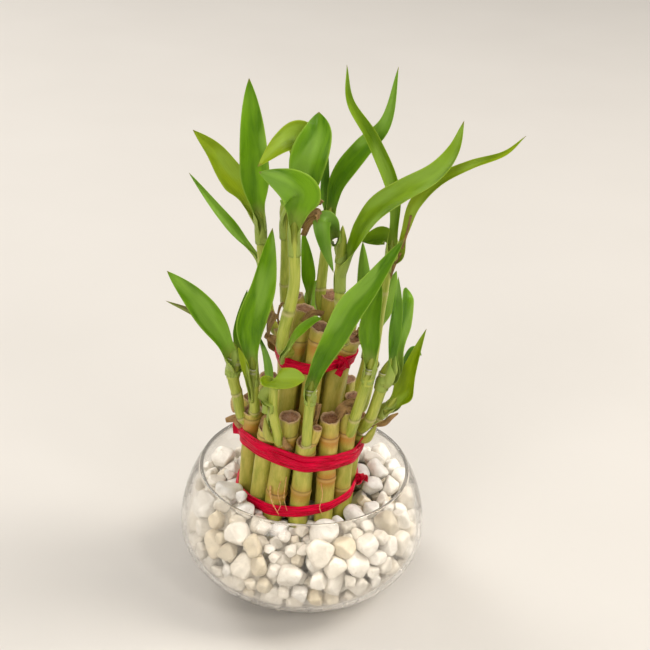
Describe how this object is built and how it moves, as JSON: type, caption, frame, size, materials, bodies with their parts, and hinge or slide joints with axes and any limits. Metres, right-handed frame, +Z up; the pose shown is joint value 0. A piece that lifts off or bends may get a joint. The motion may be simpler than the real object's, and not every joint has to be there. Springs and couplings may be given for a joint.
{
  "type": "lucky bamboo in a glass bowl",
  "caption": "Two-tier bundle of cut lucky bamboo canes tied with red ribbon, with leafy side shoots, standing in a clear round bowl of white pebbles.",
  "frame": {"origin": "centre of the bowl's flat base, on the surface it stands on", "axes": "+Z up along the bowl's axis, -Y towards the front of the plant, +X to its right"},
  "size_m": [0.1574, 0.1202, 0.2632],
  "materials": {
    "glass": "clear soda glass, faintly warm, fire-polished rim",
    "pebble": "washed white marble pebbles, smooth but not polished",
    "cane": "waxy yellow-green cane skin with tan joint rings and dry brown cut ends",
    "ribbon": "satin florist's ribbon, crimson",
    "leaf_green": "glossy mid-green leaf with parallel veins",
    "leaf_olive": "glossy yellow-green young leaf",
    "leaf_dark": "satin dark green leaf",
    "leaf_dry": "dried leaf, matt brown-green"
  },
  "bodies": {
    "root": {"glass_bowl": "glass", "pebble_bed": "pebble", "outer_cane_01": "cane", "outer_cane_02": "cane", "outer_cane_03": "cane", "outer_cane_04": "cane", "outer_cane_05": "cane", "outer_cane_06": "cane", "outer_cane_07": "cane", "outer_cane_08": "cane", "outer_cane_09": "cane", "outer_cane_10": "cane", "outer_cane_11": "cane", "outer_cane_12": "cane", "outer_cane_13": "cane", "outer_cane_14": "cane", "inner_cane_01": "cane", "inner_cane_02": "cane", "inner_cane_03": "cane", "inner_cane_04": "cane", "inner_cane_05": "cane", "inner_cane_06": "cane", "inner_cane_07": "cane", "base_ribbon": "ribbon", "lower_ribbon": "ribbon", "upper_ribbon": "ribbon", "upper_leaf_01": "leaf_olive", "upper_leaf_02": "leaf_green", "upper_leaf_03": "leaf_green", "upper_leaf_04": "leaf_green", "upper_leaf_05": "leaf_olive", "upper_leaf_06": "leaf_green", "upper_leaf_07": "leaf_green", "upper_leaf_08": "leaf_dark", "upper_leaf_09": "leaf_green", "upper_leaf_10": "leaf_dark", "upper_leaf_11": "leaf_olive", "upper_leaf_12": "leaf_green", "upper_leaf_13": "leaf_olive", "upper_leaf_14": "leaf_dark", "lower_leaf_01": "leaf_green", "lower_leaf_02": "leaf_green", "lower_leaf_03": "leaf_dark", "lower_leaf_04": "leaf_green", "lower_leaf_05": "leaf_olive", "lower_leaf_06": "leaf_dark", "lower_leaf_07": "leaf_green", "lower_leaf_08": "leaf_dark", "lower_leaf_09": "leaf_dry", "lower_leaf_10": "leaf_green", "lower_leaf_11": "leaf_olive", "lower_leaf_12": "leaf_dark", "lower_leaf_13": "leaf_olive", "lower_leaf_14": "leaf_green", "lower_leaf_15": "leaf_green", "lower_leaf_16": "leaf_dark", "lower_leaf_17": "leaf_green", "lower_leaf_18": "leaf_olive", "lower_leaf_19": "leaf_green"}
  },
  "joints": []
}
